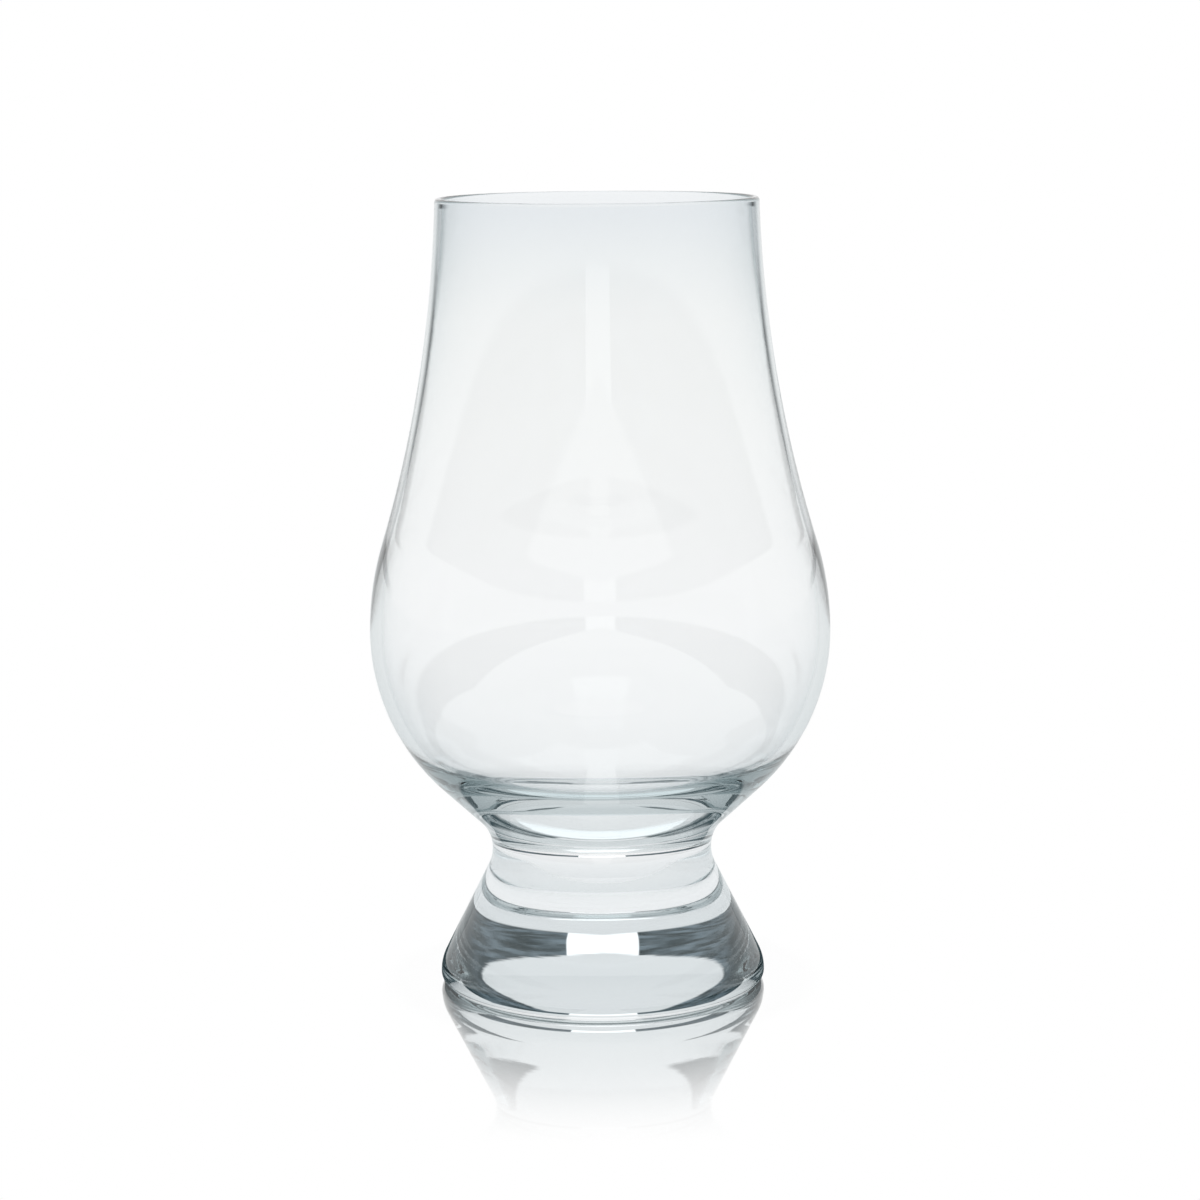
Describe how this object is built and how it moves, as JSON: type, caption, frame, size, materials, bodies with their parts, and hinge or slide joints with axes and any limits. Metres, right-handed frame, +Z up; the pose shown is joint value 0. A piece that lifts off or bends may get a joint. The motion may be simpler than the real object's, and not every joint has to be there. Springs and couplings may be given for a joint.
{
  "type": "whisky nosing glass",
  "caption": "Clear tulip-shaped whisky nosing glass: a round belly drawn in to a narrow mouth, on a short waist and a solid conical foot.",
  "frame": {"origin": "centre of the ring under the foot that the glass stands on", "axes": "+Z up along the glass's axis, from the foot to the mouth; the glass is round, so +X and +Y are any two directions square to it"},
  "size_m": [0.067, 0.067, 0.115],
  "materials": {
    "bowl_glass": "blown, fire-polished, clear",
    "foot_glass": "pressed, fire-polished, clear"
  },
  "bodies": {
    "root": {"bowl": "bowl_glass", "foot": "foot_glass"}
  },
  "joints": []
}
